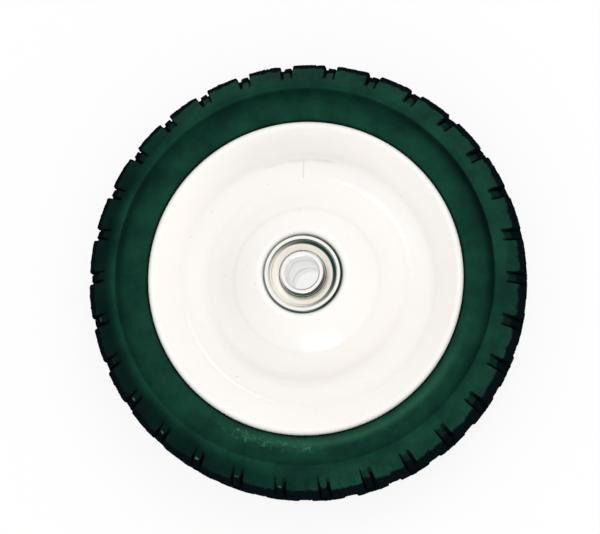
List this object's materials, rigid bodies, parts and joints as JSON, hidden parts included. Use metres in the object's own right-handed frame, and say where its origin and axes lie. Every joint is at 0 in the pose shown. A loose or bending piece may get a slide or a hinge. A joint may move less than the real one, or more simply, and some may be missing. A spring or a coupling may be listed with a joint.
{
  "type": "wheel",
  "caption": "Garden machine wheel: lugged rubber tyre held between stamped white steel discs, with shielded ball bearings pressed into the hub for a plain axle.",
  "frame": {"origin": "on the axle's axis, at the tyre's mid-plane", "axes": "+Z along the axle, out of the side with the long hub; the wheel lies on its other side"},
  "size_m": [0.2, 0.2, 0.0525],
  "materials": {
    "tyre_rubber": "moulded rubber, dark green, lightly dusty",
    "disc_paint": "gloss white enamel on pressed steel",
    "race_steel": "turned bearing steel, bright",
    "shield_steel": "pressed tinplate, satin",
    "tube_steel": "cut tube, zinc plated",
    "ball_steel": "polished chrome steel",
    "cage_plastic": "moulded nylon"
  },
  "bodies": {
    "axle_sleeve": {"front_inner_race": "race_steel", "rear_inner_race": "race_steel", "spacer_tube": "tube_steel"},
    "wheel": {"tyre": "tyre_rubber", "front_disc": "disc_paint", "rear_disc": "disc_paint", "front_outer_race": "race_steel", "rear_outer_race": "race_steel", "front_outer_shield": "shield_steel", "front_inner_shield": "shield_steel", "rear_outer_shield": "shield_steel", "rear_inner_shield": "shield_steel"},
    "front_ball_set": {"front_cage": "cage_plastic", "front_ball_1": "ball_steel", "front_ball_2": "ball_steel", "front_ball_3": "ball_steel", "front_ball_4": "ball_steel", "front_ball_5": "ball_steel", "front_ball_6": "ball_steel", "front_ball_7": "ball_steel", "front_ball_8": "ball_steel"},
    "rear_ball_set": {"rear_cage": "cage_plastic", "rear_ball_1": "ball_steel", "rear_ball_2": "ball_steel", "rear_ball_3": "ball_steel", "rear_ball_4": "ball_steel", "rear_ball_5": "ball_steel", "rear_ball_6": "ball_steel", "rear_ball_7": "ball_steel", "rear_ball_8": "ball_steel"}
  },
  "joints": [
    {"name": "wheel_spin", "type": "hinge", "parent": "axle_sleeve", "child": "wheel", "pos_m": [0, 0, 0], "axis": [0, 0, 1], "continuous": true},
    {"name": "front_ball_orbit", "type": "hinge", "parent": "axle_sleeve", "child": "front_ball_set", "pos_m": [0, 0, 0.022], "axis": [0, 0, 1], "continuous": true},
    {"name": "rear_ball_orbit", "type": "hinge", "parent": "axle_sleeve", "child": "rear_ball_set", "pos_m": [0, 0, -0.0125], "axis": [0, 0, 1], "continuous": true}
  ],
  "couplings": [
    {"joint": "front_ball_orbit", "follows": "wheel_spin", "ratio": 0.61},
    {"joint": "rear_ball_orbit", "follows": "wheel_spin", "ratio": 0.61}
  ]
}
